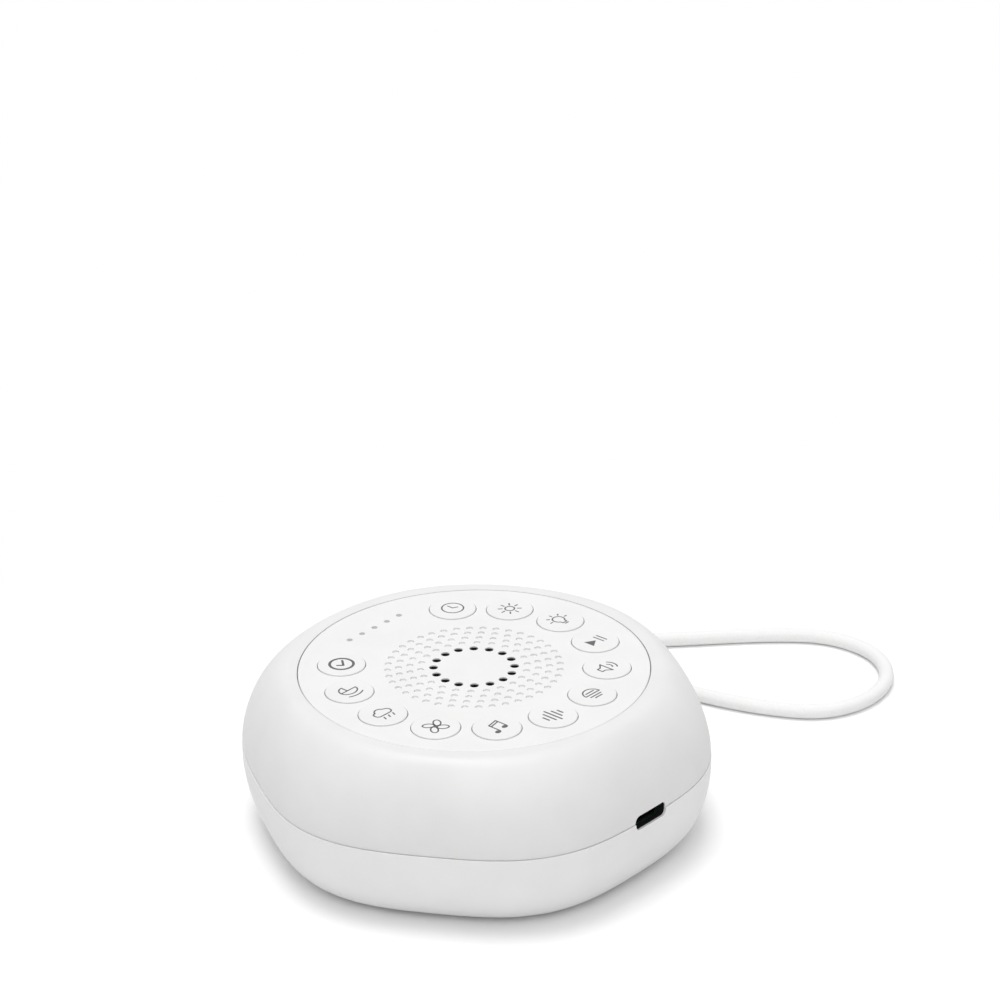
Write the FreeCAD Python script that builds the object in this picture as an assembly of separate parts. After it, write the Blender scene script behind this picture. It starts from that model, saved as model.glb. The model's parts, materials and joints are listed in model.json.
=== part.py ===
"""White noise sound machine: a soft six-sided puck with a round control panel.

Twelve round push buttons stand in a ring of fourteen places; the two empty places hold a
row of five status lights. A 40 mm speaker plays up through the middle of the panel. The
case is two shells that meet at a seam, with the charging port across the seam at -Y and a
hanging strap that leaves the lower shell at 30 degrees. Millimetres, +Z up, origin on the
surface that the feet stand on, under the middle of the panel.
"""

import FreeCAD
import Part
import math
import os

from FreeCAD import Vector

# Outer form
TOP_Z = 36.9
SEAM_Z = 18.25
FOOT_PROUD = 0.9
SEAM_RADIUS = 49.65
CORNER_SWELL = 1.08
SIDES = 6
RIM_RADIUS = 39.7
BASE_RADIUS = 40.7
UPPER_FULLNESS = 1.72
LOWER_FULLNESS = 2.2
WALL = 2.0
SEAM_GAP = 0.24
SEAM_TUCK = 0.3
LIP_HEIGHT = 1.6
LIP_CLEARANCE = 0.1
RUNNING_GAP = 0.15

# Control panel
PANEL_RADIUS = 37.4
PANEL_THICK = 2.4
PANEL_EDGE_ROUND = 0.3
LEDGE_THICK = 1.8
LEDGE_WIDTH = 3.0

# Grille: the first ring of holes goes through, the others are blind dimples
GRILLE_FIRST_RADIUS = 8.6
GRILLE_FIRST_STEP = 2.75
GRILLE_STEP = 2.33
GRILLE_TURNS = (-2.7, 5.9, -1.3, 4.5, -0.2)
GRILLE_FIRST_COUNT = 16
GRILLE_COUNT_STEP = 6
THROUGH_HOLE_RADIUS = 0.95
DIMPLE_RADIUS = 0.75
DIMPLE_DEPTH = 0.4

# Buttons
BUTTON_NAMES = (
    "short_timer", "bedtime", "rain_cloud", "fan", "lullaby", "white_noise",
    "ocean", "volume", "play_pause", "night_light", "brightness", "long_timer",
)
BUTTON_PLACES = 14
BUTTON_CIRCLE = 28.2
BUTTON_RADIUS = 5.1
BUTTON_PROUD = 0.3
BUTTON_TRAVEL = 0.4
BUTTON_EDGE_ROUND = 0.25
FLANGE_EXTRA = 0.5
FLANGE_THICK = 0.8
FLANGE_GAP = 0.05
STEM_RADIUS = 1.5
STEM_LENGTH = 0.6

# Status lights
LIGHT_COUNT = 5
LIGHT_PITCH = 3.9
LIGHT_ROW_Y = 29.05
LIGHT_RADIUS = 0.6
LIGHT_CLEARANCE = 0.05
LIGHT_TO_LED_GAP = 0.2

# Key board under the buttons
BOARD_THICK = 1.2
SWITCH_SIDE = 4.0
SWITCH_HEIGHT = 1.5
PLUNGER_RADIUS = 0.9
PLUNGER_PROUD = 0.5
PLUNGER_SUNK = 0.8
PLUNGER_CLEARANCE = 0.05
KEY_BOARD_INNER = 22.8
KEY_BOARD_OUTER = 33.9
LED_SIZE = (1.6, 0.8, 0.7)
BOSS_RADIUS = 1.4
BOSS_CIRCLE = 32.4
SMALL_SCREW_RADIUS = 0.8
SMALL_HEAD_RADIUS = 1.5
SMALL_HEAD_HEIGHT = 1.0
SMALL_SCREW_LENGTH = 3.0
SCREW_CLEARANCE = 0.1

# Speaker
SPEAKER_RADIUS = 20.5
GASKET_INNER = 18.9
GASKET_THICK = 1.0
SPEAKER_FLANGE = 1.0
BASKET_THICK = 0.8
BASKET_DEPTH = 8.0
BASKET_FOOT_RADIUS = 13.0
WINDOW_COUNT = 4
CONE_RADIUS = 16.9
CONE_CLEARANCE = 0.1
CONE_THICK = 0.4
SURROUND_OUTER = 19.2
SURROUND_THICK = 0.35
COIL_RADIUS = 6.6
COIL_WALL = 0.3
COIL_LENGTH = 5.0
POLE_RADIUS = 6.0
GAP_PLATE_THICK = 1.2
MAGNET_RADIUS = 13.5
MAGNET_BORE = 7.6
MAGNET_THICK = 4.4
BACK_PLATE_THICK = 1.6
SPIDER_RADIUS = 11.5
MESH_RADIUS = 10.8
MESH_THICK = 0.3

# Case screws and feet
CASE_SCREW_COUNT = 4
CASE_SCREW_CIRCLE = 37.2
CASE_BOSS_RADIUS = 3.5
CASE_PILLAR_RADIUS = 2.9
CASE_SCREW_RADIUS = 1.3
CASE_HEAD_RADIUS = 2.2
CASE_HEAD_HEIGHT = 1.8
CASE_HEAD_SUNK = 0.6
CASE_SCREW_DEPTH = 8.0
CASE_SCREW_BITE = 6.0
FOOT_COUNT = 4
FOOT_CIRCLE = 32.5
FOOT_RADIUS = 5.0
FOOT_RECESS = 0.6
FOOT_EDGE_ROUND = 0.3

# Charging port and main board
PORT_WIDTH = 9.6
PORT_HEIGHT = 3.2
PORT_CORNER = 1.2
RECEPTACLE = (8.94, 7.3, 3.16)
RECEPTACLE_WALL = 0.3
TONGUE = (6.7, 5.0, 0.7)
PORT_SETBACK = 0.3
MAIN_BOARD_THICK = 1.6
MAIN_BOARD_WIDTH = 40.0
MAIN_BOARD_DEPTH = 14.5
MAIN_BOARD_POST_X = 14.0
MAIN_BOARD_POST_RADIUS = 2.4

# Battery
BATTERY = (50.0, 34.0, 8.0)
BATTERY_Y = 2.0
BATTERY_CORNER = 2.0

# Hanging strap
STRAP_DIAMETER = 3.4
STRAP_ANGLE = 30.0
STRAP_Z = 9.0
STRAP_SPREAD = 2.1
STRAP_CLEARANCE = 0.2
GROMMET_WALL = 0.7
GROMMET_LENGTH = 2.9
ANCHOR = (3.4, 10.6, 6.0)
ANCHOR_FACE = 43.1
RIB_THICK = 1.4
RIB_WIDTH = 15.0
RIB_HEIGHT = 11.0
STRAP_BEND_SHARE = 0.45

# Ribbon cable and wires
RIBBON_Y = -32.3
RIBBON_SOCKET = (10.0, 2.2, 2.0)
RIBBON_WIDTH = 8.0
RIBBON_THICK = 0.3
WIRE_RADIUS = 0.6
BATTERY_WIRE_X = (4.0, 6.0)
SPEAKER_WIRE_X = (-9.0, -7.0)
SPEAKER_WIRE_REACH = 17.5

# Chips and lamps on the main board
PROCESSOR = (5.0, 5.0, 0.9)
PROCESSOR_PLACE = (8.7, -3.3)
AMPLIFIER = (4.0, 5.0, 1.5)
AMPLIFIER_PLACE = (9.5, 3.8)
NIGHT_LED = (3.0, 3.0, 1.4)
NIGHT_LED_X = (-9.0, -3.0, 3.0, 9.0)

FLOOR_Z = FOOT_PROUD + WALL
PANEL_UNDER_Z = TOP_Z - PANEL_THICK
FLANGE_TOP_Z = PANEL_UNDER_Z - FLANGE_GAP
STEM_END_Z = FLANGE_TOP_Z - FLANGE_THICK - STEM_LENGTH
KEY_BOARD_TOP_Z = STEM_END_Z - PLUNGER_PROUD - SWITCH_HEIGHT
KEY_BOARD_UNDER_Z = KEY_BOARD_TOP_Z - BOARD_THICK
PORT_Z = SEAM_Z + 0.1
MAIN_BOARD_TOP_Z = PORT_Z - RECEPTACLE[2] / 2
MAIN_BOARD_UNDER_Z = MAIN_BOARD_TOP_Z - MAIN_BOARD_THICK
FLAT_RADIUS = SEAM_RADIUS - CORNER_SWELL
STRAP_OUT = Vector(math.cos(math.radians(STRAP_ANGLE)), math.sin(math.radians(STRAP_ANGLE)), 0)
STRAP_SIDE = Vector(-STRAP_OUT.y, STRAP_OUT.x, 0)
STRAP_FLOOR_Z = STRAP_DIAMETER / 2
UP = Vector(0, 0, 1)

# Buttons are placed from the middle of the two empty places, which faces +Y
BUTTON_PITCH = 360.0 / BUTTON_PLACES
BUTTON_ANGLES = [90 + BUTTON_PITCH * (1.5 + k) for k in range(len(BUTTON_NAMES))]
BOSS_ANGLES = (90.0, 90 + BUTTON_PITCH * 5, 90 - BUTTON_PITCH * 5)


def around(radius, angle, z=0.0):
    """A point at a radius and an angle in degrees."""
    turn = math.radians(angle)
    return Vector(radius * math.cos(turn), radius * math.sin(turn), z)


def ring(inner, outer, low, high):
    """A flat ring, or a disc where the inner radius is 0."""
    shape = Part.makeCylinder(outer, high - low, Vector(0, 0, low))
    if inner > 0:
        shape = shape.cut(Part.makeCylinder(inner, high - low, Vector(0, 0, low)))
    return shape


def rod(radius, centre, low, high):
    """An upright round rod."""
    return Part.makeCylinder(radius, high - low, Vector(centre.x, centre.y, low))


def block(size, centre_x, centre_y, low):
    """An upright box centred on a point, standing on a level."""
    return Part.makeBox(size[0], size[1], size[2], Vector(centre_x - size[0] / 2, centre_y - size[1] / 2, low))


def revolved(points):
    """The solid that a closed outline of (radius, z) points sweeps round the Z axis."""
    wire = Part.makePolygon([Vector(r, 0, z) for r, z in points + points[:1]])
    return Part.Face(wire).revolve(Vector(0, 0, 0), UP, 360)


def fused(shapes):
    """One solid from overlapping or touching shapes."""
    return shapes[0].multiFuse(shapes[1:]).removeSplitter() if len(shapes) > 1 else shapes[0]


def outline(radius, swell, z):
    """A closed smooth outline with softly swollen corners, one of them on +X."""
    count = 6 * SIDES
    points = []
    for k in range(count):
        angle = 2 * math.pi * k / count
        reach = radius + swell * math.cos(SIDES * angle)
        points.append(Vector(reach * math.cos(angle), reach * math.sin(angle), z))
    curve = Part.BSplineCurve()
    curve.interpolate(points, PeriodicFlag=True)
    return Part.Wire([curve.toShape()])


def prism(radius, low, high):
    """A straight-sided solid on the outline, with the seam's corners."""
    return Part.Face(outline(radius, CORNER_SWELL, low)).extrude(Vector(0, 0, high - low))


def lofted(seam_radius, end_radius, seam_z, end_z, fullness, end_swell, tuck=0.0, sections=8):
    """A bulging solid from the seam to its end level, with a superelliptic side."""
    wires = []
    for k in range(sections):
        turn = math.pi / 2 * k / (sections - 1)
        share = math.cos(turn) ** (2 / fullness) if k < sections - 1 else 0.0
        height = math.sin(turn) ** (2 / fullness) if k > 0 else 0.0
        radius = end_radius + (seam_radius - end_radius) * share
        swell = end_swell + (CORNER_SWELL - end_swell) * share
        if k == 0:
            radius -= tuck
        wires.append(outline(radius, swell, seam_z + (end_z - seam_z) * height))
    return Part.makeLoft(wires, True, False)


def rounded_slot(width, height, corner, start, direction, side, length):
    """A rounded rectangle's solid from start along direction, with its width along side."""
    half_w = width / 2 - corner
    half_h = height / 2 - corner
    arcs = []
    for sign_w, sign_h, begin in ((1, 1, 0), (-1, 1, 90), (-1, -1, 180), (1, -1, 270)):
        marks = []
        for angle in (begin, begin + 45, begin + 90):
            turn = math.radians(angle)
            across = sign_w * half_w + corner * math.cos(turn)
            rise = sign_h * half_h + corner * math.sin(turn)
            marks.append(start + side * across + UP * rise)
        arcs.append(marks)
    edges = []
    for k, marks in enumerate(arcs):
        follower = arcs[(k + 1) % len(arcs)]
        edges.append(Part.Arc(*marks).toShape())
        if marks[2].distanceToPoint(follower[0]) > 1e-6:
            edges.append(Part.LineSegment(marks[2], follower[0]).toShape())
    return Part.Face(Part.Wire(edges)).extrude(direction * length)


def port_opening(length):
    """The charging port's opening, from outside the wall inwards."""
    start = Vector(0, -FLAT_RADIUS - 1, PORT_Z)
    return rounded_slot(PORT_WIDTH, PORT_HEIGHT, PORT_CORNER, start, Vector(0, 1, 0), Vector(1, 0, 0), length)


def strap_opening(start_radius, length, extra=0.0):
    """The strap's slot, wide enough for two cords side by side."""
    height = STRAP_DIAMETER + 2 * (STRAP_CLEARANCE + extra)
    width = height + 2 * STRAP_SPREAD
    start = STRAP_OUT * start_radius + Vector(0, 0, STRAP_Z)
    return rounded_slot(width, height, height / 2, start, STRAP_OUT, STRAP_SIDE, length)


def case_screw_points():
    return [around(CASE_SCREW_CIRCLE, 45 + 360.0 / CASE_SCREW_COUNT * k) for k in range(CASE_SCREW_COUNT)]


def foot_points():
    return [around(FOOT_CIRCLE, 360.0 / FOOT_COUNT * k) for k in range(FOOT_COUNT)]


def upper_shell():
    outer = lofted(SEAM_RADIUS, RIM_RADIUS, SEAM_Z, TOP_Z, UPPER_FULLNESS, 0.0, SEAM_TUCK)
    inner_top = PANEL_UNDER_Z - LEDGE_THICK
    inner = lofted(SEAM_RADIUS - WALL, RIM_RADIUS - WALL, SEAM_Z, inner_top, UPPER_FULLNESS, 0.0, SEAM_TUCK)
    opening = ring(0, PANEL_RADIUS - LEDGE_WIDTH, inner_top - 1, TOP_Z + 1)
    shell = outer.cut(inner)
    shell = shell.cut(prism(SEAM_RADIUS + WALL, SEAM_Z - 1, SEAM_Z + SEAM_GAP / 2))
    shell = shell.cut(prism(SEAM_RADIUS - WALL / 2, SEAM_Z - 1, SEAM_Z + LIP_HEIGHT + LIP_CLEARANCE))
    shell = shell.cut(ring(0, PANEL_RADIUS + RUNNING_GAP, PANEL_UNDER_Z, TOP_Z + 1))
    shell = shell.cut(opening)
    pillars = [rod(CASE_PILLAR_RADIUS, p, SEAM_Z, inner_top + 0.5).cut(opening) for p in case_screw_points()]
    pilots = [rod(CASE_SCREW_RADIUS, p, SEAM_Z - 1, SEAM_Z + CASE_SCREW_DEPTH) for p in case_screw_points()]
    return fused([shell] + pillars).cut(pilots + [port_opening(WALL + 4)])


def lower_outside():
    """The lower half's outer form, without its inside."""
    return lofted(SEAM_RADIUS, BASE_RADIUS, SEAM_Z, FOOT_PROUD, LOWER_FULLNESS, CORNER_SWELL * 0.8)


def strap_rib():
    """The rib behind the strap's slot that the strap's crimp bears on."""
    rib = Part.makeBox(
        RIB_THICK, RIB_WIDTH, RIB_HEIGHT + 0.5, Vector(-RIB_THICK / 2, -RIB_WIDTH / 2, FLOOR_Z - 0.5)
    )
    rib.translate(Vector(ANCHOR_FACE + RUNNING_GAP + RIB_THICK / 2, 0, 0))
    rib.rotate(Vector(0, 0, 0), UP, STRAP_ANGLE)
    return rib.common(lower_outside())


def lower_shell():
    inner = lofted(
        SEAM_RADIUS - WALL, BASE_RADIUS - WALL, SEAM_Z, FLOOR_Z, LOWER_FULLNESS, CORNER_SWELL * 0.8
    )
    shell = lower_outside().cut(inner).cut(prism(SEAM_RADIUS + WALL, SEAM_Z - SEAM_GAP / 2, SEAM_Z + 1))
    lip = prism(SEAM_RADIUS - WALL / 2 - LIP_CLEARANCE, SEAM_Z - 1.5, SEAM_Z + LIP_HEIGHT)
    lip = lip.cut(prism(SEAM_RADIUS - WALL - LIP_CLEARANCE, SEAM_Z - 2, SEAM_Z + LIP_HEIGHT + 1))
    bosses = [rod(CASE_BOSS_RADIUS, p, FLOOR_Z - 0.5, SEAM_Z) for p in case_screw_points()]
    posts = [
        rod(MAIN_BOARD_POST_RADIUS, p, FLOOR_Z - 0.5, MAIN_BOARD_UNDER_Z) for p in main_board_screw_points()
    ]
    shell = fused([shell, lip, strap_rib()] + bosses + posts)
    cuts = [port_opening(WALL + 4)]
    cuts.append(strap_opening(ANCHOR_FACE, SEAM_RADIUS - ANCHOR_FACE + 2, GROMMET_WALL))
    for p in case_screw_points():
        cuts.append(rod(CASE_SCREW_RADIUS + SCREW_CLEARANCE, p, 0, SEAM_Z + 1))
        cuts.append(rod(CASE_HEAD_RADIUS + SCREW_CLEARANCE * 3, p, 0, case_head_z() + CASE_HEAD_HEIGHT))
    for p in foot_points():
        cuts.append(rod(FOOT_RADIUS, p, 0, FOOT_PROUD + FOOT_RECESS))
    for p in main_board_screw_points():
        cuts.append(
            rod(SMALL_SCREW_RADIUS, p, MAIN_BOARD_UNDER_Z - SMALL_SCREW_LENGTH - 1, MAIN_BOARD_UNDER_Z + 1)
        )
    return shell.cut(cuts)


def case_head_z():
    """The level of a case screw head's outer face, up inside its recess."""
    return FOOT_PROUD + CASE_HEAD_SUNK


def case_screws():
    low = case_head_z()
    bodies = []
    for p in case_screw_points():
        head = rod(CASE_HEAD_RADIUS, p, low, low + CASE_HEAD_HEIGHT)
        shank = rod(CASE_SCREW_RADIUS, p, low + CASE_HEAD_HEIGHT, SEAM_Z + CASE_SCREW_BITE)
        slots = [block((w, d, 0.9), p.x, p.y, low) for w, d in ((2.6, 0.6), (0.6, 2.6))]
        bodies.append(fused([head, shank]).cut(fused(slots)))
    return Part.makeCompound(bodies)


def rubber_feet():
    feet = []
    for p in foot_points():
        foot = rod(FOOT_RADIUS, p, 0, FOOT_PROUD + FOOT_RECESS)
        rims = [e for e in foot.Edges if abs(e.BoundBox.ZMax) < 1e-6]
        feet.append(foot.makeFillet(FOOT_EDGE_ROUND, rims))
    return Part.makeCompound(feet)


def grille_holes():
    """The grille's drills: through holes in the first ring, dimples in the others."""
    drills = []
    for k in range(len(GRILLE_TURNS)):
        radius = GRILLE_FIRST_RADIUS
        if k > 0:
            radius += GRILLE_FIRST_STEP + GRILLE_STEP * (k - 1)
        count = GRILLE_FIRST_COUNT + GRILLE_COUNT_STEP * k
        for j in range(count):
            place = around(radius, GRILLE_TURNS[k] + 360.0 / count * j)
            if k == 0:
                drills.append(rod(THROUGH_HOLE_RADIUS, place, PANEL_UNDER_Z - 1, TOP_Z + 1))
            else:
                drills.append(rod(DIMPLE_RADIUS, place, TOP_Z - DIMPLE_DEPTH, TOP_Z + 1))
    return drills


def light_points():
    first = -LIGHT_PITCH * (LIGHT_COUNT - 1) / 2
    return [Vector(first + LIGHT_PITCH * k, LIGHT_ROW_Y, 0) for k in range(LIGHT_COUNT)]


def top_panel():
    disc = ring(0, PANEL_RADIUS, PANEL_UNDER_Z, TOP_Z)
    rims = [e for e in disc.Edges if e.BoundBox.ZMin > TOP_Z - 1e-6]
    disc = disc.makeFillet(PANEL_EDGE_ROUND, rims)
    bosses = [
        rod(BOSS_RADIUS, around(BOSS_CIRCLE, a), KEY_BOARD_TOP_Z, PANEL_UNDER_Z + 0.5) for a in BOSS_ANGLES
    ]
    drills = grille_holes()
    for angle in BUTTON_ANGLES:
        drills.append(
            rod(BUTTON_RADIUS + RUNNING_GAP, around(BUTTON_CIRCLE, angle), PANEL_UNDER_Z - 1, TOP_Z + 1)
        )
    for p in light_points():
        drills.append(rod(LIGHT_RADIUS + LIGHT_CLEARANCE, p, PANEL_UNDER_Z - 1, TOP_Z + 1))
    for a in BOSS_ANGLES:
        drills.append(rod(SMALL_SCREW_RADIUS, around(BOSS_CIRCLE, a), KEY_BOARD_TOP_Z, KEY_BOARD_TOP_Z + 2.5))
    return fused([disc] + bosses).cut(drills)


def button(angle):
    centre = around(BUTTON_CIRCLE, angle)
    cap = rod(BUTTON_RADIUS, centre, FLANGE_TOP_Z, TOP_Z + BUTTON_PROUD)
    rims = [e for e in cap.Edges if e.BoundBox.ZMin > TOP_Z + BUTTON_PROUD - 1e-6]
    cap = cap.makeFillet(BUTTON_EDGE_ROUND, rims)
    flange = rod(BUTTON_RADIUS + FLANGE_EXTRA, centre, FLANGE_TOP_Z - FLANGE_THICK, FLANGE_TOP_Z)
    stem = rod(STEM_RADIUS, centre, STEM_END_Z, FLANGE_TOP_Z - FLANGE_THICK)
    return fused([cap, flange, stem])


def light_pipes():
    low = KEY_BOARD_TOP_Z + LED_SIZE[2] + LIGHT_TO_LED_GAP
    return Part.makeCompound([rod(LIGHT_RADIUS, p, low, TOP_Z) for p in light_points()])


def status_leds():
    return Part.makeCompound([block(LED_SIZE, p.x, p.y, KEY_BOARD_TOP_Z) for p in light_points()])


def key_board():
    board = ring(KEY_BOARD_INNER, KEY_BOARD_OUTER, KEY_BOARD_UNDER_Z, KEY_BOARD_TOP_Z)
    radius = SMALL_SCREW_RADIUS + SCREW_CLEARANCE
    holes = [
        rod(radius, around(BOSS_CIRCLE, a), KEY_BOARD_UNDER_Z - 1, KEY_BOARD_TOP_Z + 1) for a in BOSS_ANGLES
    ]
    return board.cut(holes)


def key_switches():
    bodies = []
    top = KEY_BOARD_TOP_Z + SWITCH_HEIGHT
    well = PLUNGER_SUNK + BUTTON_TRAVEL + PLUNGER_CLEARANCE
    for angle in BUTTON_ANGLES:
        base = block((SWITCH_SIDE, SWITCH_SIDE, SWITCH_HEIGHT), 0, 0, KEY_BOARD_TOP_Z)
        base = base.cut(rod(PLUNGER_RADIUS + PLUNGER_CLEARANCE, Vector(0, 0, 0), top - well, top + 1))
        base.rotate(Vector(0, 0, 0), UP, angle)
        base.translate(around(BUTTON_CIRCLE, angle))
        bodies.append(base)
    return Part.makeCompound(bodies)


def plunger(angle):
    """The pin that a button's stem pushes down into its switch."""
    low = KEY_BOARD_TOP_Z + SWITCH_HEIGHT - PLUNGER_SUNK
    return rod(PLUNGER_RADIUS, around(BUTTON_CIRCLE, angle), low, STEM_END_Z)


def key_board_screws():
    bodies = []
    for a in BOSS_ANGLES:
        centre = around(BOSS_CIRCLE, a)
        head = rod(SMALL_HEAD_RADIUS, centre, KEY_BOARD_UNDER_Z - SMALL_HEAD_HEIGHT, KEY_BOARD_UNDER_Z)
        shank = rod(SMALL_SCREW_RADIUS, centre, KEY_BOARD_UNDER_Z, KEY_BOARD_UNDER_Z + SMALL_SCREW_LENGTH)
        bodies.append(fused([head, shank]))
    return Part.makeCompound(bodies)


# Speaker levels, from the panel down
GASKET_LOW = PANEL_UNDER_Z - GASKET_THICK
FLANGE_LOW = GASKET_LOW - SPEAKER_FLANGE
BASKET_LOW = FLANGE_LOW - BASKET_DEPTH
GAP_PLATE_LOW = BASKET_LOW - GAP_PLATE_THICK
MAGNET_LOW = GAP_PLATE_LOW - MAGNET_THICK
BACK_PLATE_LOW = MAGNET_LOW - BACK_PLATE_THICK
CONE_FOOT_Z = BASKET_LOW + 3.2
CONE_TOP_Z = FLANGE_LOW + 0.1


def speaker_basket():
    wall = BASKET_THICK
    profile = [
        (SURROUND_OUTER, FLANGE_LOW), (SURROUND_OUTER, GASKET_LOW), (SPEAKER_RADIUS, GASKET_LOW),
        (SPEAKER_RADIUS, FLANGE_LOW), (BASKET_FOOT_RADIUS + wall, BASKET_LOW),
        (COIL_RADIUS + 0.6, BASKET_LOW), (COIL_RADIUS + 0.6, BASKET_LOW + wall),
        (BASKET_FOOT_RADIUS, BASKET_LOW + wall),
    ]
    basket = revolved(profile)
    windows = []
    for k in range(WINDOW_COUNT):
        window = block((12.0, 6.0, BASKET_DEPTH - 3.0), BASKET_FOOT_RADIUS + 5, 0, BASKET_LOW + 1.6)
        window.rotate(Vector(0, 0, 0), UP, 360.0 / WINDOW_COUNT * (k + 0.5))
        windows.append(window)
    return basket.cut(windows)


def speaker_cone():
    outer = COIL_RADIUS + COIL_WALL
    return revolved([
        (outer, CONE_FOOT_Z), (outer + 0.5, CONE_FOOT_Z), (CONE_RADIUS, CONE_TOP_Z - CONE_THICK),
        (CONE_RADIUS, CONE_TOP_Z), (outer, CONE_FOOT_Z + CONE_THICK),
    ])


def speaker_surround():
    """The half-roll rubber edge between the cone and the basket's flange."""
    inner = CONE_RADIUS + CONE_CLEARANCE
    middle = (inner + SURROUND_OUTER) / 2
    half = (SURROUND_OUTER - inner) / 2
    outline_points = []
    for reach, way in ((half, 1), (half - SURROUND_THICK, -1)):
        for k in range(9):
            turn = math.pi * k / 8
            outline_points.append(
                (middle + way * reach * math.cos(turn), CONE_TOP_Z + 0.8 * reach * math.sin(turn))
            )
    return revolved(outline_points)


def speaker_dust_cap():
    rise = 1.8
    radius = COIL_RADIUS + COIL_WALL
    ball = (radius * radius + rise * rise) / (2 * rise)
    base = CONE_FOOT_Z + CONE_THICK
    centre = Vector(0, 0, base + rise - ball)
    cap = Part.makeSphere(ball, centre).cut(Part.makeSphere(ball - 0.3, centre))
    return cap.common(ring(0, radius, base, base + rise + 1))


def voice_coil():
    top = CONE_FOOT_Z + CONE_THICK
    return ring(COIL_RADIUS, COIL_RADIUS + COIL_WALL, top - COIL_LENGTH, top)


def speaker_spider():
    low = BASKET_LOW + BASKET_THICK
    return fused([
        ring(COIL_RADIUS + COIL_WALL + CONE_CLEARANCE, SPIDER_RADIUS, low + 0.6, low + 0.9),
        ring(SPIDER_RADIUS - 0.6, SPIDER_RADIUS, low, low + 0.6),
    ])


def back_plate():
    return fused([
        ring(0, MAGNET_RADIUS - 0.8, BACK_PLATE_LOW, MAGNET_LOW),
        ring(0, POLE_RADIUS, MAGNET_LOW, BASKET_LOW),
    ])


def main_board_middle():
    return -(FLAT_RADIUS - WALL - 1.0) + MAIN_BOARD_DEPTH / 2


def main_board_screw_points():
    return [Vector(x, main_board_middle(), 0) for x in (-MAIN_BOARD_POST_X, MAIN_BOARD_POST_X)]


def main_board():
    size = (MAIN_BOARD_WIDTH, MAIN_BOARD_DEPTH, MAIN_BOARD_THICK)
    board = block(size, 0, main_board_middle(), MAIN_BOARD_UNDER_Z)
    board = board.common(prism(SEAM_RADIUS - WALL - 1.0, MAIN_BOARD_UNDER_Z - 1, MAIN_BOARD_TOP_Z + 1))
    holes = [rod(SMALL_SCREW_RADIUS + SCREW_CLEARANCE, p, 0, TOP_Z) for p in main_board_screw_points()]
    return board.cut(holes)


def main_board_screws():
    bodies = []
    for p in main_board_screw_points():
        head = rod(SMALL_HEAD_RADIUS, p, MAIN_BOARD_TOP_Z, MAIN_BOARD_TOP_Z + SMALL_HEAD_HEIGHT)
        shank = rod(SMALL_SCREW_RADIUS, p, MAIN_BOARD_UNDER_Z - SMALL_SCREW_LENGTH, MAIN_BOARD_TOP_Z)
        bodies.append(fused([head, shank]))
    return Part.makeCompound(bodies)


def receptacle_face_y():
    return -(FLAT_RADIUS - WALL - PORT_SETBACK)


def charging_socket():
    """The socket's metal shell, open towards -Y."""
    width, depth, height = RECEPTACLE
    face = receptacle_face_y()
    start = Vector(0, face, PORT_Z)
    shell = rounded_slot(width, height, height / 2 - 0.3, start, Vector(0, 1, 0), Vector(1, 0, 0), depth)
    inner_width = width - 2 * RECEPTACLE_WALL
    inner_height = height - 2 * RECEPTACLE_WALL
    hollow = rounded_slot(inner_width, inner_height, inner_height / 2 - 0.3, start, Vector(0, 1, 0), Vector(1, 0, 0), depth - 1.0)
    return shell.cut(hollow)


def socket_tongue():
    start_y = receptacle_face_y() + RECEPTACLE[1] - 1.0
    return block(TONGUE, 0, start_y - TONGUE[1] / 2, PORT_Z - TONGUE[2] / 2)


def battery_cell():
    cell = block(BATTERY, 0, BATTERY_Y, FLOOR_Z)
    return cell.makeFillet(BATTERY_CORNER, [e for e in cell.Edges if e.BoundBox.ZLength > 1])


def cord_path(points):
    """Straight runs joined by tangent arcs; returns the wire, the least radius and the length."""
    places = [Vector(*p) for p in points]
    edges = []
    start = places[0]
    least = float("inf")
    for k in range(1, len(places) - 1):
        before = places[k] - places[k - 1]
        after = places[k + 1] - places[k]
        reach = STRAP_BEND_SHARE * min(before.Length, after.Length)
        half_turn = before.getAngle(after) / 2
        least = min(least, reach / math.tan(half_turn))
        enter = places[k] - before.normalize() * reach
        leave = places[k] + after.normalize() * reach
        inward = (enter + leave) * 0.5 - places[k]
        depth = inward.Length
        radius = reach / math.tan(half_turn)
        sagitta = math.hypot(radius, reach) - radius
        middle = places[k] + inward * (sagitta / depth)
        edges.append(Part.LineSegment(start, enter).toShape())
        edges.append(Part.Arc(enter, middle, leave).toShape())
        start = leave
    edges.append(Part.LineSegment(start, places[-1]).toShape())
    wire = Part.Wire(edges)
    return wire, least, wire.Length


def tube(points, radius):
    """A round cord along a route."""
    wire, least, length = cord_path(points)
    first = Vector(*points[1]) - Vector(*points[0])
    circle = Part.Wire([Part.Circle(Vector(*points[0]), first, radius).toShape()])
    return wire.makePipeShell([circle], True, False, 0), least, length


def strap_route():
    """The strap lies on the surface in one long loop; both its ends enter the lower shell."""
    def beside(reach, side, z):
        place = STRAP_OUT * reach + STRAP_SIDE * side
        return (place.x, place.y, z)

    low = STRAP_FLOOR_Z
    return [
        beside(ANCHOR_FACE, STRAP_SPREAD, STRAP_Z), beside(55.0, STRAP_SPREAD, STRAP_Z), (54.5, 37.5, 5.2),
        (66.0, 41.5, low), (78.5, 32.8, low), (93.5, 18.0, low), (109.0, 3.2, low), (117.4, -8.5, low),
        (117.0, -22.5, low), (108.0, -32.3, low), (95.5, -34.6, low), (84.5, -30.0, low), (78.0, -18.5, low),
        (73.5, -3.5, low), (72.0, 9.5, low), (66.5, 20.5, low), (57.5, 26.5, 4.6),
        beside(53.5, -STRAP_SPREAD, STRAP_Z), beside(ANCHOR_FACE, -STRAP_SPREAD, STRAP_Z),
    ]


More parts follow.
